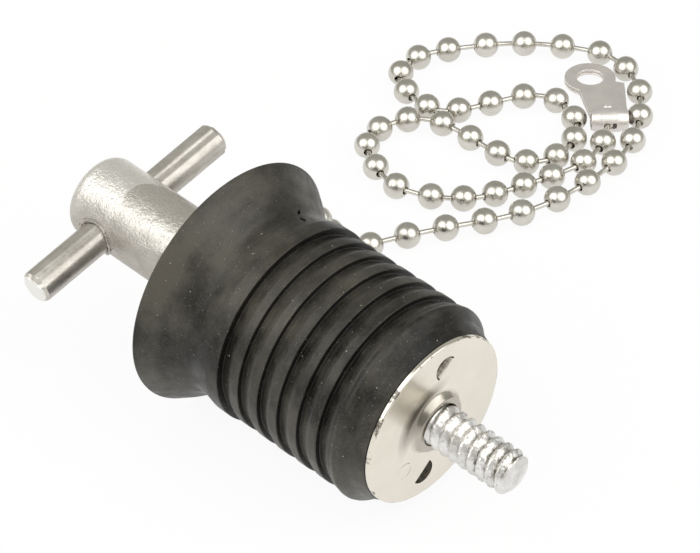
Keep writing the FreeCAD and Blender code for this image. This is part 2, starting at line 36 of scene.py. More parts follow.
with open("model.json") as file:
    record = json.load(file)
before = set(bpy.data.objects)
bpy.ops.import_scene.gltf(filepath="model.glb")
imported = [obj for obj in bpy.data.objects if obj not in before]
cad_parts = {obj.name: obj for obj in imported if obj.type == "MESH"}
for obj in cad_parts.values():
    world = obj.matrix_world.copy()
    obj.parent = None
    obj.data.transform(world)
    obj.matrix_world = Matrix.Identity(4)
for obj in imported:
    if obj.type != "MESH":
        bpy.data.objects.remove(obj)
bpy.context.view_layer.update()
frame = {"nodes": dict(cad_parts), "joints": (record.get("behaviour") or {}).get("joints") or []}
MM = 0.001

# The plug's axis from the frame, from the middle of the flange's back face to the nose. In the
# plug's own frame X points down, Y across and Z along the axis.
HANDLE_TURN = next(joint for joint in frame["joints"] if joint["name"] == "handle_turn")
AXIS_START = Vector(HANDLE_TURN["pos_m"])
AXIS = Vector(HANDLE_TURN["axis"]).normalized()
ACROSS = Vector((0, 1, 0))
DOWN = ACROSS.cross(AXIS)
PLUG = Matrix.Translation(AXIS_START) @ Matrix((DOWN, ACROSS, AXIS)).transposed().to_4x4()

# Rubber. A pair is a height along the axis and the radius there.
FLANGE_RADIUS = 18.6 * MM
BORE_RADIUS = 3.525 * MM
RIM_END = (2.2 * MM, 17.2 * MM)
DISH_END = (4.0 * MM, 15.8 * MM)
NECK = (6.7 * MM, 14.1 * MM)
BAND_START = (10.4 * MM, 15.0 * MM)
BAND_RADIUS = 15.05 * MM
FIRST_GROOVE = 12.55 * MM
GROOVE_PITCH = 3.57 * MM
GROOVE_COUNT = 6
GROOVE_WIDTH = 2.15 * MM
GROOVE_DEPTH = 0.88 * MM
RIB_RADIUS = 14.75 * MM
BULGE_START = 32.9 * MM
BULGE_PEAK = 33.7 * MM
BULGE_RADIUS = 15.05 * MM
NOSE_WAIST = (35.2 * MM, 13.65 * MM)
NOSE_RADIUS = 12.8 * MM
BUNG_LENGTH = 37.45 * MM

# How deep the rubber's skin sinks in places, the scale of that, and how far in from the rim it
# is at its full depth
UNEVEN = 0.16 * MM
UNEVEN_SCALE = 90
RIM_FADE = 1.0 * MM

# Two torn nicks at the neck, each from one point (height, radius, degrees) to another, and its width
NICKS = [
    ((5.97 * MM, 14.55 * MM, 151.0), (7.1 * MM, 14.3 * MM, 157.6), 0.45 * MM),
    ((7.1 * MM, 14.3 * MM, 157.6), (9.7 * MM, 14.98 * MM, 164.0), 0.62 * MM),
]
NICK_DEPTH = 1.1 * MM

# Screw. The thread's rise, fall and wander are shares of its pitch.
THREAD_RADIUS = 3.175 * MM
THREAD_DEPTH = 0.66 * MM
THREAD_RISE = 0.36
THREAD_FALL = 0.47
THREAD_WANDER = 0.10
THREAD_WEAR = 0.2 * MM
THREAD_PITCH = 1.6 * MM
THREAD_START = 31.0 * MM
SPINDLE_START = -15.0 * MM
SPINDLE_END = 52.35 * MM
SPINDLE_CHAMFER = 0.65 * MM
CHAMFER_SLOPE = 1.2

# Handle
HUB_RADIUS = 6.15 * MM
HUB_BACK = -26.0 * MM
HUB_FRONT = -2.0 * MM
HUB_ROUND = 1.8 * MM
PRESS_CLEARANCE = 0.02 * MM
BAR_RADIUS = 2.5 * MM
BAR_LENGTH = 36.0 * MM
BAR_CHAMFER = 0.55 * MM
BAR_CHIPS = 0.8 * MM
CHIP_SCALE = 700
BAR_HEIGHT = -19.9 * MM
BAR_DROOP = math.radians(13.0)
BURR_SIZE = 0.42 * MM

# End plate. A tooth's width is a share of its window's, and the window's depth of its half width.
PLATE_RADIUS = 12.7 * MM
PLATE_THICKNESS = 0.7 * MM
PLATE_BORE = 3.225 * MM
COLLAR_RADIUS = 4.3 * MM
COLLAR_HEIGHT = 1.2 * MM
TOOTH_RADIUS = 1.85 * MM
TOOTH_DISTANCE = 8.5 * MM
TOOTH_PLACE = math.radians(-9.3)
TOOTH_TURN = math.radians(-37.0)
TOOTH_BEND = 0.45 * MM
TOOTH_SHARE = 0.86
WINDOW_REACH = 1.2
TOOTH_SEAT = 0.1 * MM
TOOTH_SINK = 0.02 * MM

# The chain's route: down beside the plug, then (x, y) on the floor, its centre a bead's radius up
ROUTE_DOWN = [
    (-0.0156, 0.0130, 0.0184), (-0.0157, 0.0185, 0.0182), (-0.0162, 0.0225, 0.0145),
    (-0.0170, 0.0255, 0.0095), (-0.0180, 0.0285, 0.0045),
]
ROUTE_FLAT = [
    (-0.0188, 0.0320), (-0.0195, 0.0355), (-0.0140, 0.0460), (-0.0075, 0.0565),
    (-0.0055, 0.0690), (-0.0070, 0.0825), (-0.0160, 0.0945), (-0.0215, 0.0970),
    (-0.0260, 0.0985), (-0.0380, 0.0920), (-0.0460, 0.0810), (-0.0475, 0.0770),
    (-0.0465, 0.0715), (-0.0425, 0.0685), (-0.0360, 0.0675), (-0.0330, 0.0690),
    (-0.0275, 0.0820), (-0.0235, 0.0830), (-0.0180, 0.0810), (-0.0145, 0.0770),
    (-0.0133, 0.0705), (-0.0160, 0.0665), (-0.0195, 0.0655), (-0.0335, 0.0665),
    (-0.0370, 0.0635), (-0.0385, 0.0585), (-0.0380, 0.0540), (-0.0265, 0.0475),
    (-0.0160, 0.0530), (-0.0125, 0.0615), (-0.0087, 0.0735), (-0.0110, 0.0790),
]

# The beads' steps along the route, as (count, step), and the sizes of beads and links
FIRST_BEAD = 3.6 * MM
RUNS = [
    (5, 5.28 * MM), (4, 6.0 * MM), (2, 6.4 * MM), (5, 6.7 * MM), (5, 6.1 * MM), (6, 5.3 * MM),
    (5, 5.55 * MM), (2, 5.0 * MM), (3, 5.7 * MM), (2, 5.05 * MM), (3, 5.85 * MM),
    (4, 4.9 * MM), (2, 6.2 * MM),
]
BEAD_RADIUS = 2.0 * MM
ROUTE = ROUTE_DOWN + [(x, y, BEAD_RADIUS) for x, y in ROUTE_FLAT]
BEAD_HOLE = 0.64 * MM
BEAD_LIP = 0.08 * MM
BEAD_WALL = 0.2 * MM
LINK_LENGTH = 4.3 * MM
LINK_RADIUS = 0.38 * MM
LINK_HEAD_RADIUS = 0.78 * MM
LINK_HEAD_LENGTH = 0.3 * MM
LINK_FLARE = 0.2 * MM
LINK_SWING = 1.3 * MM

# The folded eyelet: its knuckle's step and bearing from the last bead, and its own heading.
# In its own frame X runs from the knuckle to the ring, Y across and Z up from the floor.
KNUCKLE_STEP = 6.3 * MM
KNUCKLE_BEARING = math.radians(120.5)
EYELET_HEADING = math.radians(135.0)
SHEET = 0.5 * MM
LEAF_GAP = 0.2 * MM
KNUCKLE_RADIUS = 1.9 * MM
LEAF_LEVEL = KNUCKLE_RADIUS - SHEET
KNUCKLE_WIDTH = 5.8 * MM
KNUCKLE_CROWN = 0.3 * MM
SLOT_WIDTH = 1.9 * MM
SLOT_HEIGHT = 1.0 * MM
RING_RADIUS = 4.0 * MM
RING_HOLE = 2.1 * MM
RING_PLACE = (11.1 * MM, 2.0 * MM)
LEAF_OUTLINE = [
    (0.0, -2.8 * MM),
    (9.4 * MM, -3.2 * MM),
    (11.1 * MM, 2.0 * MM),
    (7.636 * MM, 4.0 * MM),
    (0.0, 2.8 * MM),
]
CORE_SHARE = 0.86
CORE_SEAT = 1.5 * MM
DIMPLE_PLACE = (2.8 * MM, 0.05 * MM)
DIMPLE_RADIUS = 0.8 * MM
MOAT = 0.32 * MM
PRESS_GRAIN = 0.1 * MM
PRESS_ROUNDS = 5

# Painted light and shade on the rubber: its lightness by distance from the axis (distance, share),
# painted darker in the grooves and lighter on the lands, the nose's share of painted light, the side
# with a painted highlight along it, and layers of dust: cells to a metre, a speck's size, share of
# cells, strength
RUBBER_LIGHT_BY_RADIUS = [
    (13.7 * MM, 0.05), (13.84 * MM, 0.20), (13.98 * MM, 0.32), (14.2 * MM, 0.34),
    (14.5 * MM, 0.48), (15.1 * MM, 0.40), (16.2 * MM, 0.27), (17.05 * MM, 0.50),
    (17.5 * MM, 0.42), (18.7 * MM, 0.30),
]
NOSE_LIGHT = 0.38
HIGHLIGHT_SIDE = Vector((0.0, -0.74, 0.67))
DUST_LAYERS = [(3300, 0.16, 0.5, 0.16), (1500, 0.10, 0.5, 0.35), (650, 0.05, 0.45, 1.0)]
# The rubber's painted shade and painted light, with its random mottling between them
RUBBER_SHADED = (0.0054, 0.0049, 0.0038)
RUBBER_LIT = (0.076, 0.0695, 0.0552)
DUST = (0.42, 0.41, 0.37)

# Painted light and shade on the metal: painted light on the hub's top and painted shade on its
# underside, a painted dark reflection of the far bar on its top, painted shade in the screw's thread
# roots, a painted dark reflection of the screw beside the plate's collar and painted shade in its
# upper tooth's bend; and the plate's curved gouge
HUB_SHADED_SIDE = Vector((0.0, -0.30, -0.95))
HUB_PAINTED_LIGHT = (0.88, 0.85, 0.80)
HUB_PAINTED_SHADE = (0.42, 0.39, 0.34)
HUB_REFLECTION_PLACE = PLUG @ Vector((-5.8 * MM, -1.3 * MM, -13.0 * MM))
HUB_REFLECTION_RADIUS = 5.0 * MM
BAR_END = (0.88, 0.86, 0.82)
SCREW_ROOT_SHADE = (0.15, 0.13, 0.10)
SCREW_DULL = (0.64, 0.62, 0.59)
SCREW_BRIGHT = (0.87, 0.86, 0.84)
PLATE_SHADE_AND_SCUFF = (0.16, 0.145, 0.12)
PLATE_DULL = (0.79, 0.74, 0.65)
PLATE_BRIGHT = (0.83, 0.78, 0.69)
SCREW_REFLECTION_SIDE = Vector((0.0, -0.76, 0.65))
GOUGE_PLACE = PLUG @ Vector((5.9 * MM, -5.2 * MM, 38.15 * MM))
GOUGE_RADIUS = 1.25 * MM
GOUGE_WIDTH = 0.07 * MM
UPPER_TOOTH = PLUG @ Vector((-8.52 * MM, 0.83 * MM, 37.9 * MM))

# The photograph's view
VIEW_AZIMUTH = math.radians(42.90)
VIEW_ELEVATION = math.radians(37.03)
CAMERA_PLACE = Vector((0.26705, -0.27687, 0.31572))
FOCAL_PIXELS = 3600
FRAME_PIXELS = 700
SENSOR_WIDTH = 36.0

# The studio. A lamp's turn is counted from the camera's bearing, and the floor's shares say how
# much of its plain white the camera and mirrored rays see.
LAMP_TURN = math.radians(58)
LAMP_ELEVATION = math.radians(45)
LAMP_DISTANCE = 0.8
LAMP_AIM = Vector((0.0, 0.03, 0.0))
LAMP_SIZE = 1.05
LAMP_POWER = 4.4
FLOOR_REACH = 1.5
FLOOR_TONE = 0.9
FLOOR_SEEN = 0.93
FLOOR_MIRRORED = 0.8
WHITE = (1, 1, 1, 1)
STUDIO_GREY = (0.43, 0.43, 0.40, 1)


def towards(azimuth, elevation):
    """The direction from the object to what stands at an azimuth and elevation."""
    return Vector((
        math.sin(azimuth) * math.cos(elevation),
        -math.cos(azimuth) * math.cos(elevation),
        math.sin(elevation),
    ))


def linked(name, data):
    """A new object in the scene, of a mesh, a lamp or a camera."""
    obj = bpy.data.objects.new(name, data)
    bpy.context.scene.collection.objects.link(obj)
    return obj


def make_camera():
    """The camera where the photograph was taken from."""
    data = bpy.data.cameras.new("camera")
    data.sensor_width = SENSOR_WIDTH
    data.lens = FOCAL_PIXELS / FRAME_PIXELS * SENSOR_WIDTH
    data.clip_start = 0.01
    data.clip_end = 10
    camera = linked("camera", data)
    right = Vector((math.cos(VIEW_AZIMUTH), math.sin(VIEW_AZIMUTH), 0))
    back = towards(VIEW_AZIMUTH, VIEW_ELEVATION)
    turn = Matrix((right, back.cross(right), back)).transposed().to_4x4()
    camera.matrix_world = Matrix.Translation(CAMERA_PLACE) @ turn
    bpy.context.scene.camera = camera


def make_object(name, mesh, body, material, replaced):
    """Links a finished mesh as a piece that rides on a body and stands for CAD nodes."""
    obj = linked(name, mesh)
    mesh.materials.append(material)
    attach(obj, body)
    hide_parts(*replaced)
    return obj


def shade(mesh, sharp_degrees=32):
    """Smooth shading, with sharp edges where faces meet at more than the angle."""
    limit = math.radians(sharp_degrees)
    work = bmesh.new()
    work.from_mesh(mesh)
    bmesh.ops.recalc_face_normals(work, faces=work.faces)
    for face in work.faces:
        face.smooth = True
    for edge in work.edges:
        edge.smooth = len(edge.link_faces) == 2 and edge.calc_face_angle() < limit
    work.to_mesh(mesh)
    work.free()


def face_mesh(name, vertices, faces):
    """A mesh from its vertices and faces."""
    mesh = bpy.data.meshes.new(name)
    mesh.from_pydata(vertices, [], faces)
    return mesh


def closed_mesh(name, vertices, faces):
    """A closed mesh from its vertices and faces, all turned to look outwards."""
    mesh = face_mesh(name, vertices, faces)
    work = bmesh.new()
    work.from_mesh(mesh)
    bmesh.ops.recalc_face_normals(work, faces=work.faces)
    work.to_mesh(mesh)
    work.free()
    return mesh


def rounded(corners, closed=False, steps=4):
    """An outline through corners (height, radius, rounding), each rounded by an arc.

    An arc takes up less than half of the sides that it joins.
    """
    outline = []
    count = len(corners)
    for k, (height, radius, rounding) in enumerate(corners):
        here = Vector((height, radius))
        inner = closed or 0 < k < count - 1
        if rounding == 0 or not inner:
            outline.append(here)
            continue
        before = Vector(corners[k - 1][:2]) - here
        after = Vector(corners[(k + 1) % count][:2]) - here
        half = before.angle(after) / 2
        reach = min(rounding / math.tan(half), 0.49 * before.length, 0.49 * after.length)
        arc_radius = reach * math.tan(half)
        middle = here + (before.normalized() + after.normalized()).normalized() * (
            reach / math.cos(half))
        start = here + before.normalized() * reach - middle
        end = here + after.normalized() * reach - middle
        for step in range(steps + 1):
            spoke = start.lerp(end, step / steps)
            outline.append(middle + spoke.normalized() * arc_radius)
    return outline


def turned_mesh(name, outline, segments, closed=False):
    """A mesh turned about Z from an outline of (height, radius) points."""
    vertices = []
    rings = []
    for height, radius in outline:
        if radius == 0:
            rings.append([len(vertices)])
            vertices.append((0, 0, height))
            continue
        first = len(vertices)
        for k in range(segments):
            angle = 2 * math.pi * k / segments
            vertices.append((radius * math.cos(angle), radius * math.sin(angle), height))
        rings.append(list(range(first, first + segments)))
    pairs = list(zip(rings, rings[1:]))
    if closed:
        pairs.append((rings[-1], rings[0]))
    faces = []
    for low, high in pairs:
        for k in range(segments):
            after = (k + 1) % segments
            corners = [low[k % len(low)], low[after % len(low)],
                       high[after % len(high)], high[k % len(high)]]
            faces.append(list(dict.fromkeys(corners)))
    return face_mesh(name, vertices, faces)


def prism(name, corners, low, high):
    """An upright prism over corners (x, y), from one height to another."""
    count = len(corners)
    vertices = [(x, y, low) for x, y in corners] + [(x, y, high) for x, y in corners]
    faces = [list(range(count))[::-1], [count + k for k in range(count)]]
    for k in range(count):
        after = (k + 1) % count
        faces.append([k, after, count + after, count + k])
    return face_mesh(name, vertices, faces)


def with_modifiers(obj):
    """A new mesh of an object's shape with its modifiers applied; the object is removed."""
    bpy.context.view_layer.update()
    evaluated = obj.evaluated_get(bpy.context.evaluated_depsgraph_get())
    result = bpy.data.meshes.new_from_object(evaluated)
    bpy.data.objects.remove(obj)
    return result


def boolean(mesh, other, operation):
    """The mesh joined with, or cut by, another one."""
    base = linked("boolean_base", mesh)
    tool = linked("boolean_tool", other)
    modifier = base.modifiers.new("boolean", "BOOLEAN")
    modifier.operation = operation
    modifier.solver = "EXACT"
    modifier.object = tool
    result = with_modifiers(base)
    bpy.data.objects.remove(tool)
    return result


def pressed(name, meshes, grain, rounds):
    """Closed meshes fused on a fine grid and smoothed, as sheet is by its press."""
    work = bmesh.new()
    for mesh in meshes:
        work.from_mesh(mesh)
    joined = bpy.data.meshes.new(name)
    work.to_mesh(joined)
    work.free()
    obj = linked(name, joined)
    grid = obj.modifiers.new("grid", "REMESH")
    grid.mode = "VOXEL"
    grid.voxel_size = grain
    soft = obj.modifiers.new("soft", "SMOOTH")
    soft.factor = 0.5
    soft.iterations = rounds
    return with_modifiers(obj)


def repeated_mesh(name, mesh, placements):
    """One mesh that holds a copy of the given one at each placement."""
    count = len(mesh.vertices)
    base = np.ones((count, 4))
    base[:, :3] = np.array([vertex.co for vertex in mesh.vertices])
    polygons = [list(polygon.vertices) for polygon in mesh.polygons]
    vertices = []
    faces = []
    for k, placement in enumerate(placements):
        vertices.extend((base @ np.array(placement).T)[:, :3].tolist())
        faces.extend([[index + k * count for index in polygon] for polygon in polygons])
    return face_mesh(name, vertices, faces)


class Nodes:
    """The node tree of a new material, with short ways to add and join nodes."""

    def __init__(self, name):
        self.material = bpy.data.materials.new(name)
        self.material.use_nodes = True
        self.tree = self.material.node_tree
        self.shader = self.tree.nodes["Principled BSDF"]
        self.coordinates = self.add("ShaderNodeTexCoord")
        self.place = self.coordinates.outputs["Object"]

    def add(self, kind, sockets=None, **values):
        """A new node, with sockets set to plain values or joined to other nodes' outputs."""
        node = self.tree.nodes.new(kind)
        for name, value in values.items():
            setattr(node, name, value)
        for socket, value in (sockets or {}).items():
            if isinstance(value, bpy.types.NodeSocket):
                self.tree.links.new(value, node.inputs[socket])
            else:
                node.inputs[socket].default_value = value
        return node

    def join(self, output, node, socket):
        self.tree.links.new(output, node.inputs[socket])

    def finish(self, colour, roughness):
        """Colour and roughness for the shader."""
        self.join(colour, self.shader, "Base Color")
        self.join(roughness, self.shader, "Roughness")

    def noise(self, scale, detail=2.0, rough=0.5, place=None):
        sockets = {"Scale": scale, "Detail": detail, "Roughness": rough,
                   "Vector": place or self.place}
        return self.add("ShaderNodeTexNoise", sockets).outputs["Fac"]

    def spread(self, value, low, high, from_low=0.0, from_high=1.0):
        """A value's stretch from from_low to from_high, spread over low to high."""
        sockets = {"Value": value, "From Min": from_low, "From Max": from_high,
                   "To Min": low, "To Max": high}
        return self.add("ShaderNodeMapRange", sockets).outputs["Result"]

    def stretched(self, scales):
        """Coordinates for a noise with its own scale along X, Y and Z."""
        sockets = {"Scale": scales, "Vector": self.place}
        return self.add("ShaderNodeMapping", sockets).outputs["Vector"]

    def mix(self, share, first, second):
        sockets = {0: share}
        for socket, value in ((6, first), (7, second)):
            sockets[socket] = (*value, 1) if isinstance(value, tuple) else value
        return self.add("ShaderNodeMix", sockets, data_type="RGBA").outputs[2]

    def vector(self, operation, first, second=None, output="Vector"):
        sockets = {0: first} if second is None else {0: first, 1: second}
        return self.add("ShaderNodeVectorMath", sockets, operation=operation).outputs[output]

    def sums(self, operation, first, second=0.0):
        sockets = {0: first, 1: second}
        return self.add("ShaderNodeMath", sockets, operation=operation).outputs[0]

    def dot(self, first, second):
        return self.vector("DOT_PRODUCT", first, second, "Value")

    def length(self, arm):
        return self.vector("LENGTH", arm, output="Value")

    def arm(self, point):
        """The arrow from a point to each spot."""
        return self.vector("SUBTRACT", self.place, point)

    def from_axis(self):
        """The distance from the plug's axis and the height along it."""
        arm = self.arm(AXIS_START)
        return self.length(self.vector("CROSS_PRODUCT", arm, AXIS)), self.dot(arm, AXIS)

    def facing(self, side):
        """How far each spot of the plug lies towards a side: 1 towards it, -1 away from it."""
        radius, _ = self.from_axis()
        return self.sums("DIVIDE", self.dot(self.arm(AXIS_START), side), radius)

    def steps(self, value, stops):
        """A level that runs in straight lines through stops (value, level)."""
        low = stops[0][0]
        high = stops[-1][0]
        peak = max(1.0, max(level for at, level in stops))
        ramp = self.add("ShaderNodeValToRGB", {"Fac": self.spread(value, 0, 1, low, high)})
        elements = ramp.color_ramp.elements
        while len(elements) < len(stops):
            elements.new(0.5)
        for element, (at, level) in zip(elements, stops):
            element.position = (at - low) / (high - low)
            element.color = (level / peak, level / peak, level / peak, 1)
        return self.sums("MULTIPLY", ramp.outputs["Color"], peak)

    def specks(self, scale, size, share):
        """Spots of that size, as a share of a cell, on a share of the cells."""
        sockets = {"Scale": scale, "Vector": self.place}
        cells = self.add("ShaderNodeTexVoronoi", sockets, feature="F1")
        near = self.sums("LESS_THAN", cells.outputs["Distance"], size)
        split = self.add("ShaderNodeSeparateColor", {"Color": cells.outputs["Color"]})
        chosen = self.sums("LESS_THAN", split.outputs["Red"], share)
        return self.sums("MULTIPLY", near, chosen)

    def bump(self, heights):
        """Bumps from (height, depth in metres) pairs, one after another."""
        normal = None
        for height, depth in heights:
            node = self.add("ShaderNodeBump", {"Distance": depth, "Height": height})
            if normal:
                self.join(normal, node, "Normal")
            normal = node.outputs["Normal"]
        self.join(normal, self.shader, "Normal")

    def plain(self, name, value):
        """One value for the whole surface, set on the shader itself."""
        self.shader.inputs[name].default_value = value


def satin_metal(name, light, dark, roughness, grain, grain_scale=5000, sparkle=0.0, metal=1.0,
                shade_and_tint=None):
    """Plated or tumbled metal: fine grain, cloudy tone and uneven gloss; a function, if given,
    recolours it, as the hub's painted light and shade and the bar's brighter ends.
    """
    made = Nodes(name)
    made.plain("Metallic", metal)
    cloud = made.noise(260, 3, 0.6)
    tone = made.mix(made.spread(cloud, 0, 1, 0.35, 0.65), dark, light)
    if shade_and_tint:
        tone = shade_and_tint(made, tone)
    fine = made.noise(grain_scale, 2, 0.6)
    wear = made.noise(900, 3, 0.65)
    gloss = made.sums("ADD", made.spread(wear, -0.06, 0.06, 0.3, 0.7), roughness)
    if sparkle:
        glints = made.spread(made.noise(5200, 2, 0.7), -sparkle, sparkle, 0.35, 0.65)
        gloss = made.sums("ADD", gloss, glints)
    made.finish(tone, gloss)
    made.bump([(wear, grain * 1.5), (fine, grain)])
    return made.material


def hub_light_and_shade(made, tone):
    """The hub: painted light on its upper side, painted shade below, and a painted dark reflection
    of the far bar on its top between bar and flange.
    """
    # Painted light on the hub's upper side, painted shade on its underside
    above = made.facing(-HUB_SHADED_SIDE)
    tone = made.mix(made.spread(above, 0, 1, 0.45, 0.9), tone, HUB_PAINTED_LIGHT)
    below = made.spread(made.facing(HUB_SHADED_SIDE), 0, 0.8, -0.45, 0.6)
    # A painted dark reflection of the far bar on the hub's top, from near the bar to the flange
    arm = made.arm(HUB_REFLECTION_PLACE)
    inside = made.sums("LESS_THAN", made.length(arm), HUB_REFLECTION_RADIUS)
    ahead = made.sums("GREATER_THAN", made.dot(arm, AXIS), 0.0)
    upper = made.spread(above, 0, 0.6, 0.72, 0.92)
    bar_reflection = made.sums("MULTIPLY", made.sums("MAXIMUM", inside, ahead), upper)
    return made.mix(made.sums("MAXIMUM", below, bar_reflection), tone, HUB_PAINTED_SHADE)


def bar_tint(made, tone):
    """The crossbar: its cut ends are brighter."""
    away = made.length(made.arm(PLUG @ Vector((0, 0, BAR_HEIGHT))))
    ends = made.sums("GREATER_THAN", away, BAR_LENGTH / 2 - 0.05 * MM)
    return made.mix(ends, tone, BAR_END)


def screw_metal():
    """Bright worn screw: silver crests, and painted shade in the roots of the thread."""
    made = Nodes("spindle_metal")
    made.plain("Metallic", 1.0)
    radius, height = made.from_axis()
    # Painted shade in the thread's roots, in patches, deeper towards the free end and none on the
    # end face
    root = THREAD_RADIUS - THREAD_DEPTH
    unshaded = made.spread(radius, 0, 1, root, THREAD_RADIUS - THREAD_DEPTH * 0.5)
    torn = made.noise(1, 4, 0.7, made.stretched((3000, 1000, 1000)))
    patches = made.spread(torn, -0.6, 0.5, 0.35, 0.65)
    shade_lift = made.steps(height, [
        (SPINDLE_END - 9 * MM, 0.75), (SPINDLE_END - 5 * MM, 0.4), (SPINDLE_END - 0.3 * MM, 0.1),
        (SPINDLE_END - 0.15 * MM, 1.8), (SPINDLE_END, 1.8),
    ])
    share = made.sums("ADD", made.sums("ADD", unshaded, patches), shade_lift)
    cloud = made.spread(made.noise(380, 3, 0.6), 0, 1, 0.35, 0.65)
    silver = made.mix(cloud, SCREW_DULL, SCREW_BRIGHT)
    tone = made.mix(made.spread(share, 0, 1), SCREW_ROOT_SHADE, silver)
    made.finish(tone, made.spread(share, 0.55, 0.36))
    made.bump([(torn, 0.055 * MM), (made.noise(5200, 2, 0.6), 0.010 * MM)])
    return made.material


def plate_shade_and_marks(made):
    """Where the plate is painted darker: a painted dark reflection of the screw and painted shade
    beside its collar, painted shade in the tooth's bend, scuffs on its edge and the gouge.
    """
    radius, height = made.from_axis()
    # A painted dark reflection of the screw on the plate, on one side of its collar
    sector = made.spread(made.facing(SCREW_REFLECTION_SIDE), 0, 1, -0.05, 0.6)
    ring = made.steps(radius, [
        (PLATE_BORE, 0.75), (COLLAR_RADIUS - 0.2 * MM, 1.0), (COLLAR_RADIUS + 1.4 * MM, 0.9),
        (COLLAR_RADIUS + 3.0 * MM, 0.0), (PLATE_RADIUS, 0.0),
    ])
    screw_reflection = made.sums("MULTIPLY", sector, ring)
    # Painted shade round the collar
    collar = made.steps(radius, [
        (PLATE_BORE, 0.5), (COLLAR_RADIUS, 0.5), (COLLAR_RADIUS + 0.3 * MM, 0.25),
        (COLLAR_RADIUS + 0.8 * MM, 0.0), (PLATE_RADIUS, 0.0),
    ])
    edge = made.spread(radius, 0, 0.9, PLATE_RADIUS - 0.28 * MM, PLATE_RADIUS - 0.12 * MM)
    scuffs = made.sums("MULTIPLY", edge, made.spread(made.noise(420, 4, 0.75), 0, 1, 0.53, 0.6))
    # Painted shade in the upper tooth's bend
    close = made.sums("LESS_THAN", made.length(made.arm(UPPER_TOOTH)), TOOTH_RADIUS * 1.1)
    below = made.sums("LESS_THAN", height, BUNG_LENGTH + PLATE_THICKNESS - 0.05 * MM)
    patchy = made.spread(made.noise(1500, 3, 0.7), 0.25, 0.75, 0.4, 0.6)
    bend = made.sums("MULTIPLY", made.sums("MULTIPLY", close, below), patchy)
    off_line = made.sums("SUBTRACT", made.length(made.arm(GOUGE_PLACE)), GOUGE_RADIUS)
    line = made.sums("LESS_THAN", made.sums("ABSOLUTE", off_line), GOUGE_WIDTH)
    broken = made.spread(made.noise(650, 2, 0.5), 0, 0.6, 0.48, 0.54)
    gouge = made.sums("MULTIPLY", line, broken)
    shade_and_marks = screw_reflection
    for mark in (collar, scuffs, bend, gouge):
        shade_and_marks = made.sums("MAXIMUM", shade_and_marks, mark)
    return shade_and_marks


def plate_metal():
    """Bright nickel plate, with painted shade and a painted dark reflection beside its collar, and
    scuffed on its edge.
    """
    made = Nodes("plate_metal")
    made.plain("Metallic", 1.0)
    cloud = made.spread(made.noise(180, 3, 0.6), 0, 1, 0.35, 0.65)
    unshaded = made.mix(cloud, PLATE_DULL, PLATE_BRIGHT)
    gloss = made.spread(made.noise(700, 3, 0.6), 0.20, 0.27, 0.3, 0.7)
    made.finish(made.mix(plate_shade_and_marks(made), unshaded, PLATE_SHADE_AND_SCUFF), gloss)
    made.bump([(made.noise(240, 3, 0.6), 0.006 * MM), (made.noise(5000, 2, 0.6), 0.0006 * MM)])
    return made.material


def black_rubber():
    """Matte moulded rubber: painted light on the lands and painted shade in the grooves, a painted
    highlight streak, mottled bloom and specks of dust.
    """
    made = Nodes("black_rubber")
    made.plain("Specular IOR Level", 0.3)
    radius, height = made.from_axis()
    nose = made.sums("GREATER_THAN", height, BULGE_START)
    # Painted light and shade by distance from the axis, and painted light on the nose
    lit_share = made.sums("MAXIMUM", made.steps(radius, RUBBER_LIGHT_BY_RADIUS),
                        made.sums("MULTIPLY", nose, NOSE_LIGHT))
    cloud = made.spread(made.noise(62, 3, 0.55), -0.36, 0.46, 0.38, 0.62)
    bloom = made.spread(made.noise(2600, 3, 0.7), -0.12, 0.12, 0.3, 0.7)
    smears = made.noise(1, 4, 0.7, made.stretched((900, 260, 420)))
    streaks = made.spread(smears, -0.12, 0.14, 0.35, 0.65)
    # A painted highlight streak along one side of the body
    highlight_side = made.spread(made.facing(HIGHLIGHT_SIDE), 0, 0.55, 0.78, 1.0)
    painted_highlight = made.sums("MULTIPLY", highlight_side, made.spread(made.noise(130, 3, 0.6), 0.1, 1, 0.42, 0.6))
    share = lit_share
    for layer in (cloud, bloom, streaks, painted_highlight):
        share = made.sums("ADD", share, layer)
    # Painted deep shade on the groove walls that face the nose
    skin = made.dot(made.coordinates.outputs["Normal"], AXIS)
    share = made.sums("MULTIPLY", share, made.spread(skin, 1, 0.08, 0.72, 0.92))
    tone = made.mix(made.spread(share, 0, 1), RUBBER_SHADED, RUBBER_LIT)
    for scale, size, part, strength in DUST_LAYERS:
        dust = made.sums("MULTIPLY", made.specks(scale, size, part), strength)
        tone = made.mix(dust, tone, DUST)
    made.finish(tone, made.spread(made.noise(260, 4, 0.65), 0.27, 0.52, 0.32, 0.68))
    made.bump([(made.noise(420, 3, 0.6), 0.035 * MM), (smears, 0.012 * MM),
               (made.noise(6000, 2, 0.6), 0.012 * MM)])
    return made.material


def make_materials():
    """The finish of each material slot, and of the crossbar and the eyelet."""
    return {
        "black_rubber": black_rubber(),
        "handle_metal": satin_metal("handle_metal", (0.66, 0.63, 0.585), (0.46, 0.435, 0.395), 0.37,
                                    grain=0.10 * MM, grain_scale=2600, sparkle=0.12, metal=0.8,
                                    shade_and_tint=hub_light_and_shade),
        "bar_metal": satin_metal("bar_metal", (0.64, 0.61, 0.56), (0.50, 0.47, 0.42), 0.38,
                                 grain=0.020 * MM, grain_scale=3000, sparkle=0.08, metal=0.85,
                                 shade_and_tint=bar_tint),
        "spindle_metal": screw_metal(),
        "plate_metal": plate_metal(),
        "chain_metal": satin_metal("chain_metal", (0.70, 0.675, 0.62), (0.61, 0.585, 0.53), 0.27,
                                   grain=0.002 * MM),
        "eyelet_metal": satin_metal("eyelet_metal", (0.84, 0.80, 0.765), (0.75, 0.71, 0.68), 0.38,
                                    grain=0.006 * MM, metal=0.78),
    }


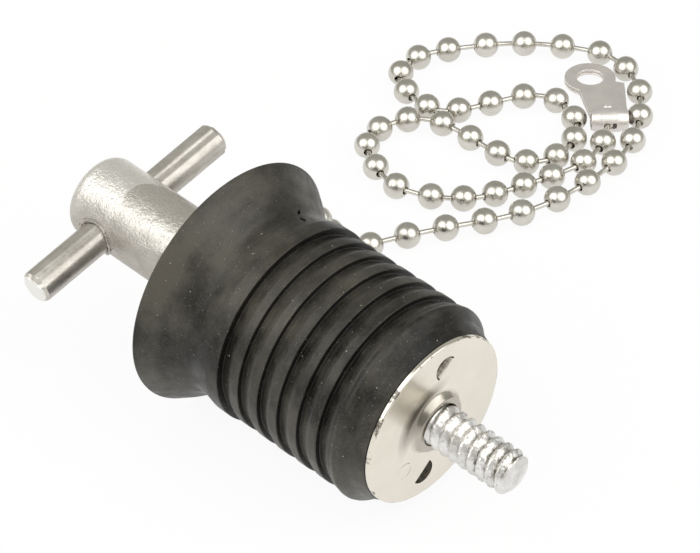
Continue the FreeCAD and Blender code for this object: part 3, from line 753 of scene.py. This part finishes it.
def rubber_corners():
    """The rubber's outline from its bore round the flange and ribs to the nose."""
    corners = [
        (0, BORE_RADIUS, 0),
        (0, FLANGE_RADIUS, 0.2 * MM),
        (*RIM_END, 0.4 * MM),
        (*DISH_END, 6.0 * MM),
        (*NECK, 2.6 * MM),
        (*BAND_START, 1.2 * MM),
    ]
    top = BAND_RADIUS
    floor = RIB_RADIUS - GROOVE_DEPTH
    for k in range(GROOVE_COUNT):
        start = FIRST_GROOVE + GROOVE_PITCH * k
        corners += [
            (start, top, 0.15 * MM),
            (start, floor, 0.18 * MM),
            (start + GROOVE_WIDTH * 0.5, floor + GROOVE_DEPTH * 0.42, 1.6 * MM),
            (start + GROOVE_WIDTH, RIB_RADIUS, 0.25 * MM),
        ]
        top = RIB_RADIUS
    corners += [
        (BULGE_START, RIB_RADIUS, 0.4 * MM),
        (BULGE_PEAK, BULGE_RADIUS, 0.9 * MM),
        (*NOSE_WAIST, 2.4 * MM),
        (BUNG_LENGTH, NOSE_RADIUS, 0.25 * MM),
        (BUNG_LENGTH, BORE_RADIUS, 0),
    ]
    return corners


def wedge(start, end, width):
    """A sharp wedge along the rubber's skin from one point to another, to cut a torn nick."""
    points = []
    for height, radius, degrees in (start, end):
        angle = math.radians(degrees)
        out = Vector((math.cos(angle), math.sin(angle), 0))
        points.append((out * radius + Vector((0, 0, height)), out))
    (near, near_out), (far, far_out) = points
    first = near + (near - far) * 0.2
    last = far + (far - near) * 0.2
    middle = first.lerp(last, 0.6)
    out = (near_out + far_out).normalized()
    side = (last - first).cross(out).normalized() * width
    lift = NICK_DEPTH * 0.5
    vertices = [first + out * lift, middle - side + out * lift, last + out * lift,
                middle + side + out * lift, middle - out * NICK_DEPTH]
    faces = [(0, 1, 2, 3), (0, 4, 1), (1, 4, 2), (2, 4, 3), (3, 4, 0)]
    return closed_mesh("nick", vertices, faces)


def make_rubber(materials):
    """The moulded rubber, its skin sunk unevenly in places and cut with two torn nicks."""
    mesh = turned_mesh("rubber", rounded(rubber_corners()), 224, closed=True)
    for vertex in mesh.vertices:
        radius = vertex.co.xy.length
        if radius > NOSE_RADIUS and 0 < vertex.co.z < BUNG_LENGTH:
            sunk = UNEVEN * (0.5 + 0.5 * noise.noise(vertex.co * UNEVEN_SCALE))
            sunk *= min(1, max(0, (FLANGE_RADIUS - radius) / RIM_FADE))
            vertex.co.xy *= 1 - sunk / radius
    for start, end, width in NICKS:
        mesh = boolean(mesh, wedge(start, end, width), "DIFFERENCE")
    shade(mesh)
    mesh.transform(PLUG)
    for vertex in mesh.vertices:
        vertex.co.z = max(vertex.co.z, 0)
    rubber = make_object("rubber", mesh, "plug", materials["black_rubber"],
                         ["rubber_bung"])
    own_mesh(rubber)


def bar_placement():
    """The crossbar's own frame in the plug's: Z along the bar to its near, drooping end."""
    lift = Matrix.Translation((0, 0, BAR_HEIGHT))
    droop = Matrix.Rotation(BAR_DROOP, 4, "Z")
    return lift @ droop @ Matrix.Rotation(math.radians(90), 4, "X")


def burr_mesh():
    """The torn lip that the pressing left round the bar's near hole, on the hub's skin."""
    around = 72
    sides = 8
    vertices = []
    faces = []
    for k in range(around):
        angle = 2 * math.pi * k / around
        spoke = Vector((math.cos(angle), math.sin(angle), 0))
        foot = spoke * (BAR_RADIUS + BURR_SIZE * 0.8)
        foot.z = math.sqrt(HUB_RADIUS ** 2 - foot.x ** 2)
        out = Vector((foot.x, 0, foot.z)).normalized()
        torn = max(0.0, noise.noise(spoke * 4.5 + Vector((0, 0, 3.7))))
        thick = BURR_SIZE * (0.45 + torn)
        for side in range(sides):
            turn = 2 * math.pi * side / sides
            aside = spoke * (thick * math.cos(turn))
            vertices.append(foot + aside + out * (thick * math.sin(turn)))
        after = (k + 1) % around
        for side in range(sides):
            beside = (side + 1) % sides
            faces.append((k * sides + side, k * sides + beside,
                          after * sides + beside, after * sides + side))
    mesh = closed_mesh("burr", vertices, faces)
    mesh.transform(bar_placement())
    return mesh


def make_hub(materials):
    """The hub with its cross hole and its blind hole for the screw."""
    hole = THREAD_RADIUS + PRESS_CLEARANCE
    solid = turned_mesh("hub", rounded([
        (HUB_BACK, 0, 0),
        (HUB_BACK, HUB_RADIUS, HUB_ROUND),
        (HUB_FRONT, HUB_RADIUS, 0.15 * MM),
        (HUB_FRONT, hole, 0.1 * MM),
        (SPINDLE_START, hole, 0),
        (SPINDLE_START, 0, 0),
    ], steps=8), 128)
    reach = HUB_RADIUS * 2
    drill = turned_mesh("drill", [
        (-reach, 0),
        (-reach, BAR_RADIUS + PRESS_CLEARANCE),
        (reach, BAR_RADIUS + PRESS_CLEARANCE),
        (reach, 0),
    ], 64)
    drill.transform(bar_placement())
    pierced = boolean(solid, drill, "DIFFERENCE")
    mesh = boolean(pierced, burr_mesh(), "UNION")
    shade(mesh)
    mesh.transform(PLUG)
    make_object("hub", mesh, "handle", materials["handle_metal"], ["handle_hub"])


def make_crossbar(materials):
    """The round bar pressed through the hub, its ends chipped."""
    half = BAR_LENGTH / 2
    mesh = turned_mesh("crossbar", rounded([
        (-half, 0, 0),
        (-half, BAR_RADIUS - BAR_CHAMFER, 0.1 * MM),
        (-half + BAR_CHAMFER, BAR_RADIUS, 0.25 * MM),
        (half - BAR_CHAMFER, BAR_RADIUS, 0.25 * MM),
        (half, BAR_RADIUS - BAR_CHAMFER, 0.1 * MM),
        (half, 0, 0),
    ]), 96)
    for vertex in mesh.vertices:
        if abs(vertex.co.z) > half - BAR_CHAMFER * 1.2 and vertex.co.xy.length > BAR_RADIUS * 0.5:
            chip = max(0.0, noise.noise(vertex.co * CHIP_SCALE))
            vertex.co.xy *= 1 - BAR_CHIPS * chip / BAR_RADIUS
    shade(mesh)
    mesh.transform(PLUG @ bar_placement())
    make_object("crossbar", mesh, "handle", materials["bar_metal"],
                ["handle_crossbar"])


def thread_radius(height, angle):
    """The screw's surface: a right-hand thread with sharp roots and chipped, leaning crests."""
    spot = Vector((math.cos(angle), math.sin(angle), height / THREAD_RADIUS))
    wander = THREAD_WANDER * noise.noise(spot * 2.6)
    phase = (height / THREAD_PITCH - angle / (2 * math.pi) + wander) % 1.0
    crest = min(1.0, phase / THREAD_RISE, (1 - phase) / THREAD_FALL)
    chips = max(0.0, noise.noise(spot * 7.0)) + 0.6 * max(0.0, noise.noise(spot * 13.0))
    cut = THREAD_RADIUS - THREAD_DEPTH * (1 - crest) - THREAD_WEAR * chips * crest
    chamfer = THREAD_RADIUS - SPINDLE_CHAMFER + (SPINDLE_END - height) * CHAMFER_SLOPE
    return min(cut, chamfer)


def screw_mesh():
    """The screw: plain where it is hidden, threaded from the rubber to its free end."""
    around = 128
    rows_per_turn = 22
    threaded = SPINDLE_END - THREAD_START
    rows = int(threaded / THREAD_PITCH * rows_per_turn)
    vertices = [(0, 0, SPINDLE_START)]
    heights = [SPINDLE_START]
    heights += [THREAD_START + threaded * k / rows for k in range(rows + 1)]
    for row, height in enumerate(heights):
        for k in range(around):
            angle = 2 * math.pi * k / around
            radius = THREAD_RADIUS
            if row > 0:
                blend = min(1, (height - THREAD_START) / THREAD_PITCH)
                radius += (thread_radius(height, angle) - THREAD_RADIUS) * blend
            vertices.append((radius * math.cos(angle), radius * math.sin(angle), height))
    vertices.append((0, 0, SPINDLE_END))
    last = len(vertices) - 1
    top = last - around
    faces = []
    for k in range(around):
        after = (k + 1) % around
        faces.append((0, 1 + after, 1 + k))
        for row in range(len(heights) - 1):
            low = 1 + row * around
            high = low + around
            faces.append((low + k, low + after, high + after, high + k))
        faces.append((top + k, top + after, last))
    return face_mesh("screw", vertices, faces)


def make_spindle(materials):
    """The screw through the plug."""
    mesh = screw_mesh()
    shade(mesh, sharp_degrees=38)
    mesh.transform(PLUG)
    make_object("screw", mesh, "handle", materials["spindle_metal"], ["spindle"])


def window_corners():
    """The corners of a tooth's window: half an oval, its root along X, round towards +Y."""
    steps = 20
    return [(TOOTH_RADIUS * math.cos(math.pi * k / steps),
             TOOTH_RADIUS * WINDOW_REACH * math.sin(math.pi * k / steps))
            for k in range(steps + 1)]


def tooth_mesh():
    """A half disc of sheet bent down at its root, from the plate's outer face at Z = 0."""
    half = PLATE_THICKNESS / 2
    tip = TOOTH_RADIUS * 0.995
    steps = 16
    vertices = []
    for k in range(steps + 1):
        reach = tip * k / steps
        angle = min(math.pi / 2, reach / TOOTH_BEND)
        straight = max(0, reach - TOOTH_BEND * math.pi / 2)
        middle_y = TOOTH_BEND * math.sin(angle)
        middle_z = -half - TOOTH_BEND * (1 - math.cos(angle)) - straight
        width = math.sqrt(TOOTH_RADIUS ** 2 - reach ** 2) * TOOTH_SHARE
        for side in (-1, 1):
            y = middle_y + side * half * math.sin(angle)
            z = middle_z + side * half * math.cos(angle)
            vertices.append((-width, y, z))
            vertices.append((width, y, z))
    faces = [(0, 1, 3, 2)]
    for k in range(steps):
        low = 4 * k
        high = low + 4
        faces += [(low, high, high + 1, low + 1), (low + 2, low + 3, high + 3, high + 2),
                  (low, low + 2, high + 2, high), (low + 1, high + 1, high + 3, low + 3)]
    last = 4 * steps
    faces.append((last, last + 2, last + 3, last + 1))
    return closed_mesh("tooth", vertices, faces)


def make_plate(materials):
    """The pressed end plate with its drawn collar and two bent teeth."""
    face = BUNG_LENGTH + PLATE_THICKNESS
    top = face + COLLAR_HEIGHT
    mesh = turned_mesh("plate", rounded([
        (BUNG_LENGTH, PLATE_BORE, 0.1 * MM),
        (BUNG_LENGTH, PLATE_RADIUS, 0.12 * MM),
        (face, PLATE_RADIUS, 0.22 * MM),
        (face, COLLAR_RADIUS + 0.45 * MM, 0.9 * MM),
        (top, COLLAR_RADIUS - 0.2 * MM, 0.45 * MM),
        (top, PLATE_BORE, 0.15 * MM),
    ], closed=True, steps=6), 192, closed=True)
    overcut = 1.0 * MM
    for turn in (0, math.pi):
        spot = (Matrix.Rotation(TOOTH_PLACE + turn, 4, "Z")
                @ Matrix.Translation((TOOTH_DISTANCE, 0, BUNG_LENGTH))
                @ Matrix.Rotation(TOOTH_TURN, 4, "Z"))
        window = prism("window", window_corners(), -overcut, PLATE_THICKNESS + overcut)
        window.transform(spot)
        mesh = boolean(mesh, window, "DIFFERENCE")
        tooth = tooth_mesh()
        tooth.transform(spot @ Matrix.Translation((0, -TOOTH_SEAT, PLATE_THICKNESS - TOOTH_SINK)))
        mesh = boolean(mesh, tooth, "UNION")
    shade(mesh)
    mesh.transform(PLUG)
    make_object("plate", mesh, "plate", materials["plate_metal"], ["end_plate"])


def route_points():
    """The route's smooth line, as points close together."""
    data = bpy.data.curves.new("route", "CURVE")
    data.dimensions = "3D"
    data.resolution_u = 24
    spline = data.splines.new("NURBS")
    spline.points.add(len(ROUTE) - 1)
    for point, place in zip(spline.points, ROUTE):
        point.co = (*place, 1)
    spline.order_u = 3
    spline.use_endpoint_u = True
    curve = bpy.data.objects.new("route", data)
    mesh = bpy.data.meshes.new_from_object(curve)
    points = [vertex.co.copy() for vertex in mesh.vertices]
    bpy.data.objects.remove(curve)
    return points


def bead_places(points):
    """The centre and the heading of each bead, stepped along the line."""
    steps = [FIRST_BEAD]
    for count, step in RUNS:
        steps.extend([step] * count)
    places = []
    left = steps[0]
    number = 0
    for start, end in zip(points, points[1:]):
        span = (end - start).length
        done = 0.0
        while number < len(steps) and done + left <= span:
            done += left
            heading = (end - start).normalized()
            places.append((start.lerp(end, done / span), heading))
            number += 1
            left = steps[number] if number < len(steps) else math.inf
        left -= span - done
    return places


def along(heading, place):
    """A placement that turns Z to a heading and shifts to a place."""
    turn = Vector((0, 0, 1)).rotation_difference(heading)
    return Matrix.Translation(place) @ turn.to_matrix().to_4x4()


def bead_mesh():
    """A hollow ball with a hole at each end, its lips turned in a little."""
    outer = 14
    inner = 6
    outline = []
    edge = math.asin(BEAD_HOLE / BEAD_RADIUS)
    for k in range(outer + 1):
        angle = edge + (math.pi - 2 * edge) * k / outer
        outline.append((-BEAD_RADIUS * math.cos(angle), BEAD_RADIUS * math.sin(angle)))
    inside = BEAD_RADIUS - BEAD_WALL
    lip = math.asin((BEAD_HOLE - BEAD_LIP) / inside)
    for k in range(inner + 1):
        angle = lip + (math.pi - 2 * lip) * (1 - k / inner)
        outline.append((-inside * math.cos(angle), inside * math.sin(angle)))
    return turned_mesh("bead", outline, 28, closed=True)


def link_mesh():
    """A dumbbell: a round shaft with a head at each end."""
    half = LINK_LENGTH / 2
    neck = half - LINK_HEAD_LENGTH
    return turned_mesh("link", rounded([
        (-half, 0, 0),
        (-half, LINK_HEAD_RADIUS, 0.12 * MM),
        (-neck, LINK_HEAD_RADIUS, 0.1 * MM),
        (-neck + LINK_FLARE, LINK_RADIUS, 0.15 * MM),
        (neck - LINK_FLARE, LINK_RADIUS, 0.15 * MM),
        (neck, LINK_HEAD_RADIUS, 0.1 * MM),
        (half, LINK_HEAD_RADIUS, 0.12 * MM),
        (half, 0, 0),
    ], steps=2), 14)


def eyelet_leaves():
    """The eyelet's two leaves, the core that joins them, and their rings round the hole."""
    base = LEAF_LEVEL
    split = LEAF_GAP / 2
    slabs = [(base, base + SHEET - split), (base + SHEET + split, base + SHEET * 2)]
    core = (base + SHEET * 0.3, base + SHEET * 1.7)
    middle = Vector((sum(x for x, y in LEAF_OUTLINE), sum(y for x, y in LEAF_OUTLINE)))
    middle /= len(LEAF_OUTLINE)
    shrunk = [middle + (Vector(corner) - middle) * CORE_SHARE for corner in LEAF_OUTLINE]
    core_outline = [(0, corner.y) if corner.x < CORE_SEAT else tuple(corner) for corner in shrunk]
    leaves = [prism("core", core_outline, *core)]
    leaves += [prism("leaf", LEAF_OUTLINE, *slab) for slab in slabs]
    centre = Matrix.Translation((*RING_PLACE, 0))
    hole = turned_mesh("hole", [(0, 0), (0, RING_HOLE), (base * 3, RING_HOLE), (base * 3, 0)], 96)
    hole.transform(centre)
    pieces = [boolean(leaf, hole, "DIFFERENCE") for leaf in leaves]
    rings = [(RING_HOLE, RING_RADIUS, slab) for slab in slabs]
    rings.append((RING_HOLE + LEAF_GAP * 2, RING_RADIUS - LEAF_GAP * 2, core))
    for inner, outer, (low, high) in rings:
        corners = [(low, inner), (low, outer), (high, outer), (high, inner)]
        ring = turned_mesh("ring", corners, 96, closed=True)
        ring.transform(centre)
        pieces.append(ring)
    return pieces


def eyelet_knuckle():
    """The rolled barrel at the chain's end, crowned a little, with the slot that the link enters."""
    half = KNUCKLE_WIDTH / 2
    barrel = turned_mesh("barrel", rounded([
        (-half, KNUCKLE_RADIUS - SHEET, 0.05 * MM),
        (-half, KNUCKLE_RADIUS - KNUCKLE_CROWN, 0.15 * MM),
        (-half * 0.5, KNUCKLE_RADIUS, 3.0 * MM),
        (half * 0.5, KNUCKLE_RADIUS, 3.0 * MM),
        (half, KNUCKLE_RADIUS - KNUCKLE_CROWN, 0.15 * MM),
        (half, KNUCKLE_RADIUS - SHEET, 0.05 * MM),
    ], closed=True, steps=6), 64, closed=True)
    lying = Matrix.Rotation(math.radians(90), 4, "X")
    barrel.transform(Matrix.Translation((0, 0, KNUCKLE_RADIUS)) @ lying)
    outside = -KNUCKLE_RADIUS * 2
    corners = [(outside, -SLOT_WIDTH / 2), (0, -SLOT_WIDTH / 2),
               (0, SLOT_WIDTH / 2), (outside, SLOT_WIDTH / 2)]
    slot = prism("slot", corners, KNUCKLE_RADIUS - SLOT_HEIGHT / 2,
                 KNUCKLE_RADIUS + SLOT_HEIGHT / 2)
    return boolean(barrel, slot, "DIFFERENCE")


def make_fitting(materials, knuckle):
    """The folded eyelet: two leaves pressed together, rolled into a knuckle at the chain."""
    top = LEAF_LEVEL + SHEET * 2
    dimple = turned_mesh("dimple", [
        (top - SHEET * 0.5, 0),
        (top - SHEET * 0.5, DIMPLE_RADIUS),
        (top + 0.2 * MM, DIMPLE_RADIUS * 0.92),
        (top + 0.42 * MM, DIMPLE_RADIUS * 0.6),
        (top + 0.5 * MM, 0),
    ], 32)
    moat = turned_mesh("moat", [
        (top - MOAT, DIMPLE_RADIUS * 0.9),
        (top + SHEET, DIMPLE_RADIUS),
        (top + SHEET, DIMPLE_RADIUS + MOAT),
    ], 32, closed=True)
    for mesh in (dimple, moat):
        mesh.transform(Matrix.Translation((*DIMPLE_PLACE, 0)))
    pieces = eyelet_leaves() + [eyelet_knuckle(), dimple]
    eyelet = boolean(pressed("eyelet", pieces, PRESS_GRAIN, PRESS_ROUNDS), moat, "DIFFERENCE")
    shade(eyelet, sharp_degrees=60)
    eyelet.transform(Matrix.Translation((knuckle.x, knuckle.y, 0))
                     @ Matrix.Rotation(EYELET_HEADING, 4, "Z"))
    return make_object("eyelet", eyelet, "plug", materials["eyelet_metal"],
                       ["end_fitting"])


def make_chain(materials):
    """The ball chain along its route: the beads, and the links between them."""
    points = route_points()
    places = bead_places(points)
    beads = repeated_mesh("beads", bead_mesh(),
                          [along(heading, place) for place, heading in places])
    shade(beads, sharp_degrees=40)
    start = Vector(ROUTE[0])
    step = Vector((math.cos(KNUCKLE_BEARING), math.sin(KNUCKLE_BEARING), 0))
    knuckle = places[-1][0] + step * KNUCKLE_STEP
    mouth = knuckle - step * (KNUCKLE_RADIUS - SHEET)
    mouth.z = KNUCKLE_RADIUS
    leaving = [start] + [place + heading * LINK_SWING for place, heading in places]
    arriving = [place - heading * LINK_SWING for place, heading in places] + [mouth]
    links = repeated_mesh("links", link_mesh(), [
        along((far - near).normalized(), (near + far) / 2)
        for near, far in zip(leaving, arriving)])
    shade(links, sharp_degrees=40)
    metal = materials["chain_metal"]
    chain = make_object("beads", beads, "plug", metal, ["chain_beads"])
    dumbbells = make_object("links", links, "plug", metal, ["chain_links"])
    fitting = make_fitting(materials, knuckle)


def dress_cad_nodes(materials):
    """The CAD pieces that keep their own shape get their finish."""
    slots = {
        "thrust_washer": "handle_metal",
        "chain_ring": "chain_metal",
    }
    for node, slot in slots.items():
        mesh = frame["nodes"][node].data
        mesh.materials.clear()
        mesh.materials.append(materials[slot])


def make_floor():
    """A plain floor that looks white, in gloss too, and keeps a soft shadow."""
    reach = FLOOR_REACH
    corners = [(-reach, -reach, 0), (reach, -reach, 0), (reach, reach, 0), (-reach, reach, 0)]
    mesh = face_mesh("floor", corners, [(0, 1, 2, 3)])
    floor = linked("floor", mesh)
    made = Nodes("floor")
    made.plain("Base Color", (FLOOR_TONE, FLOOR_TONE, FLOOR_TONE, 1))
    made.plain("Roughness", 0.9)
    made.plain("Specular IOR Level", 0.0)
    glow = made.add("ShaderNodeEmission", {"Color": WHITE, "Strength": 1.0})
    path = made.add("ShaderNodeLightPath")
    seen = made.sums("MULTIPLY", path.outputs["Is Camera Ray"], FLOOR_SEEN)
    mirrored = made.sums("MULTIPLY", path.outputs["Is Glossy Ray"], FLOOR_MIRRORED)
    mix = made.add("ShaderNodeMixShader", {0: made.sums("ADD", seen, mirrored),
                                           1: made.shader.outputs[0], 2: glow.outputs[0]})
    made.join(mix.outputs[0], made.tree.nodes["Material Output"], "Surface")
    mesh.materials.append(made.material)


def make_world():
    """An even grey studio round the object, white where the camera looks past the floor."""
    world = bpy.data.worlds.new("studio")
    bpy.context.scene.world = world
    world.use_nodes = True
    tree = world.node_tree
    tree.nodes.clear()
    path = tree.nodes.new("ShaderNodeLightPath")
    mix = tree.nodes.new("ShaderNodeMixShader")
    tree.links.new(path.outputs["Is Camera Ray"], mix.inputs[0])
    for socket, colour in ((1, STUDIO_GREY), (2, WHITE)):
        background = tree.nodes.new("ShaderNodeBackground")
        background.inputs["Color"].default_value = colour
        tree.links.new(background.outputs[0], mix.inputs[socket])
    output = tree.nodes.new("ShaderNodeOutputWorld")
    tree.links.new(mix.outputs[0], output.inputs["Surface"])


def make_softbox(name, turn):
    """A round soft lamp, its bearing counted from the camera's."""
    back = towards(VIEW_AZIMUTH + turn, LAMP_ELEVATION)
    data = bpy.data.lights.new(name, "AREA")
    data.shape = "DISK"
    data.size = LAMP_SIZE
    data.energy = LAMP_POWER
    lamp = linked(name, data)
    lamp.location = LAMP_AIM + back * LAMP_DISTANCE
    lamp.rotation_mode = "QUATERNION"
    lamp.rotation_quaternion = (-back).to_track_quat("-Z", "Y")


make_camera()
finishes = make_materials()
make_chain(finishes)
make_rubber(finishes)
make_hub(finishes)
make_crossbar(finishes)
make_spindle(finishes)
make_plate(finishes)
dress_cad_nodes(finishes)
make_floor()
make_world()
make_softbox("lamp_left", -LAMP_TURN)
make_softbox("lamp_right", LAMP_TURN)
bpy.context.scene.view_settings.view_transform = "Standard"
